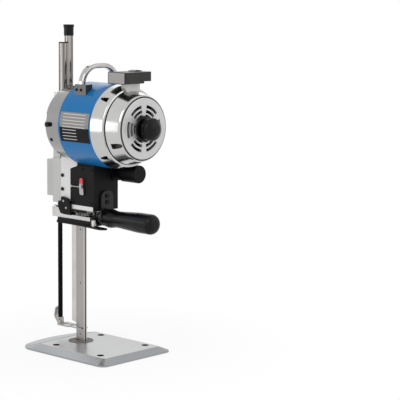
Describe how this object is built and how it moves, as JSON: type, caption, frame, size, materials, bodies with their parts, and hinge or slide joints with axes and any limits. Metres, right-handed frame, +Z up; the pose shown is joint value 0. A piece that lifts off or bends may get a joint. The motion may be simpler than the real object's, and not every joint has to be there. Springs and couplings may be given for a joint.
{
  "type": "straight knife cloth cutting machine",
  "caption": "Upright motor-driven straight knife cloth cutter: blue motor over a reciprocating blade, belt sharpener, sprung presser foot and bevelled roller base.",
  "frame": {"origin": "on the underside of the base, below the standard", "axes": "+Z up, +X to the rear along the hand grip, -X the cutting direction"},
  "size_m": [0.2778, 0.174, 0.589],
  "materials": {
    "nickel_base": "satin nickel",
    "steel": "ground steel",
    "dark_steel": "blackened steel",
    "chrome": "polished chrome",
    "castings": "light grey cast",
    "black_coat": "black powder coat",
    "blue_paint": "gloss blue",
    "core_iron": "laminated iron",
    "copper": "lacquered copper wire",
    "bronze": "bronze and brass",
    "black_plastic": "gloss black",
    "charcoal_plastic": "charcoal",
    "white_plastic": "off-white",
    "red_paint": "red",
    "abrasive": "abrasive cloth",
    "label": "blank two-tone plate"
  },
  "bodies": {
    "frame": {"base_fixings": "dark_steel", "base_plate": "nickel_base", "capacitor": "black_coat", "carry_handle": "chrome", "crank_cover": "castings", "drive_housing": "black_coat", "front_cover": "castings", "front_rail": "castings", "grip_bracket": "black_coat", "grip_stud": "steel", "guide_gibs": "bronze", "guide_tubes": "chrome", "hand_grip": "black_plastic", "handle_clamps": "castings", "head_fixings": "dark_steel", "head_frame": "castings", "inlet_pins": "bronze", "lever_fittings": "steel", "motor_shell": "blue_paint", "nameplate": "label", "rear_end_bell": "chrome", "rear_grille": "castings", "shaft_bearings": "steel", "side_covers": "black_coat", "standard": "steel", "standard_foot": "nickel_base", "stator_core": "core_iron", "stator_windings": "copper", "terminal_box": "charcoal_plastic", "terminal_end_plate": "castings", "terminal_pedestal": "white_plastic", "tube_caps": "black_plastic"},
    "rotor": {"motor_shaft": "steel", "rotor_core": "core_iron", "cooling_fan": "charcoal_plastic", "crank_disc": "steel", "hand_knob": "black_plastic"},
    "knife_slide": {"crosshead": "steel", "crosshead_pins": "steel", "knife_blade": "steel"},
    "rod": {"connecting_rod": "steel"},
    "presser": {"presser_bar": "dark_steel", "presser_foot": "steel"},
    "sharpener": {"sharpener_block": "castings", "sharpener_tray": "black_coat", "sharpener_catch": "black_coat", "lift_rod": "steel", "abrasive_belts": "abrasive"},
    "belt_drive": {"belt_drive_shaft": "steel"},
    "nose_left": {"nose_pulley_left": "steel"},
    "nose_right": {"nose_pulley_right": "steel"},
    "gear_left": {"belt_gear_left": "steel"},
    "gear_right": {"belt_gear_right": "steel"},
    "lever": {"sharpening_lever": "steel", "lever_tip": "red_paint"},
    "switch": {"switch_rocker": "black_plastic"},
    "roller_front_left": {"roller_front_left": "steel"},
    "roller_front_right": {"roller_front_right": "steel"},
    "roller_rear_left": {"roller_rear_left": "steel"},
    "roller_rear_right": {"roller_rear_right": "steel"}
  },
  "joints": [
    {"name": "rotor_spin", "type": "hinge", "parent": "frame", "child": "rotor", "pos_m": [0, 0, 0.4135], "axis": [1, 0, 0], "continuous": true},
    {"name": "knife_stroke", "type": "slide", "parent": "frame", "child": "knife_slide", "axis": [0, 0, 1], "range_m": [-0.037, 0]},
    {"name": "rod_swing", "type": "hinge", "parent": "knife_slide", "child": "rod", "pos_m": [-0.012, 0, 0.332], "axis": [1, 0, 0], "range_deg": [-10.6, 10.6]},
    {"name": "foot_lift", "type": "slide", "parent": "frame", "child": "presser", "axis": [0, 0, 1], "range_m": [-0.02, 0.16]},
    {"name": "sharpener_travel", "type": "slide", "parent": "frame", "child": "sharpener", "axis": [0, 0, 1], "range_m": [-0.15, 0]},
    {"name": "belt_drive_spin", "type": "hinge", "parent": "sharpener", "child": "belt_drive", "pos_m": [-0.031, -0.0155, 0.238], "axis": [0, 0, 1], "continuous": true},
    {"name": "nose_left_spin", "type": "hinge", "parent": "sharpener", "child": "nose_left", "pos_m": [-0.024, -0.0052, 0.238], "axis": [0, 0, 1], "continuous": true},
    {"name": "nose_right_spin", "type": "hinge", "parent": "sharpener", "child": "nose_right", "pos_m": [-0.024, 0.0052, 0.238], "axis": [0, 0, 1], "continuous": true},
    {"name": "gear_left_spin", "type": "hinge", "parent": "sharpener", "child": "gear_left", "pos_m": [0.026, -0.016, 0.252], "axis": [0, 0, 1], "continuous": true},
    {"name": "gear_right_spin", "type": "hinge", "parent": "sharpener", "child": "gear_right", "pos_m": [0.026, 0.016, 0.252], "axis": [0, 0, 1], "continuous": true},
    {"name": "lever_tilt", "type": "hinge", "parent": "frame", "child": "lever", "pos_m": [0.0335, -0.032, 0.303], "axis": [0, 1, 0], "range_deg": [0, 18], "stiffness_Nm_per_rad": 0.2},
    {"name": "switch_rock", "type": "hinge", "parent": "frame", "child": "switch", "pos_m": [0.119, 0.017, 0.5088], "axis": [1, 0, 0], "range_deg": [-5, 5]},
    {"name": "roller_front_left_spin", "type": "hinge", "parent": "frame", "child": "roller_front_left", "pos_m": [0.0075, -0.056, 0.0045], "axis": [0, 1, 0], "continuous": true},
    {"name": "roller_front_right_spin", "type": "hinge", "parent": "frame", "child": "roller_front_right", "pos_m": [0.0075, 0.056, 0.0045], "axis": [0, 1, 0], "continuous": true},
    {"name": "roller_rear_left_spin", "type": "hinge", "parent": "frame", "child": "roller_rear_left", "pos_m": [0.0917, -0.056, 0.0045], "axis": [0, 1, 0], "continuous": true},
    {"name": "roller_rear_right_spin", "type": "hinge", "parent": "frame", "child": "roller_rear_right", "pos_m": [0.0917, 0.056, 0.0045], "axis": [0, 1, 0], "continuous": true}
  ],
  "couplings": [
    {"joint": "nose_left_spin", "follows": "belt_drive_spin", "ratio": 1.7143},
    {"joint": "gear_left_spin", "follows": "belt_drive_spin", "ratio": 1.2},
    {"joint": "gear_right_spin", "follows": "belt_drive_spin", "ratio": -1.2},
    {"joint": "nose_right_spin", "follows": "belt_drive_spin", "ratio": -1.7143}
  ]
}
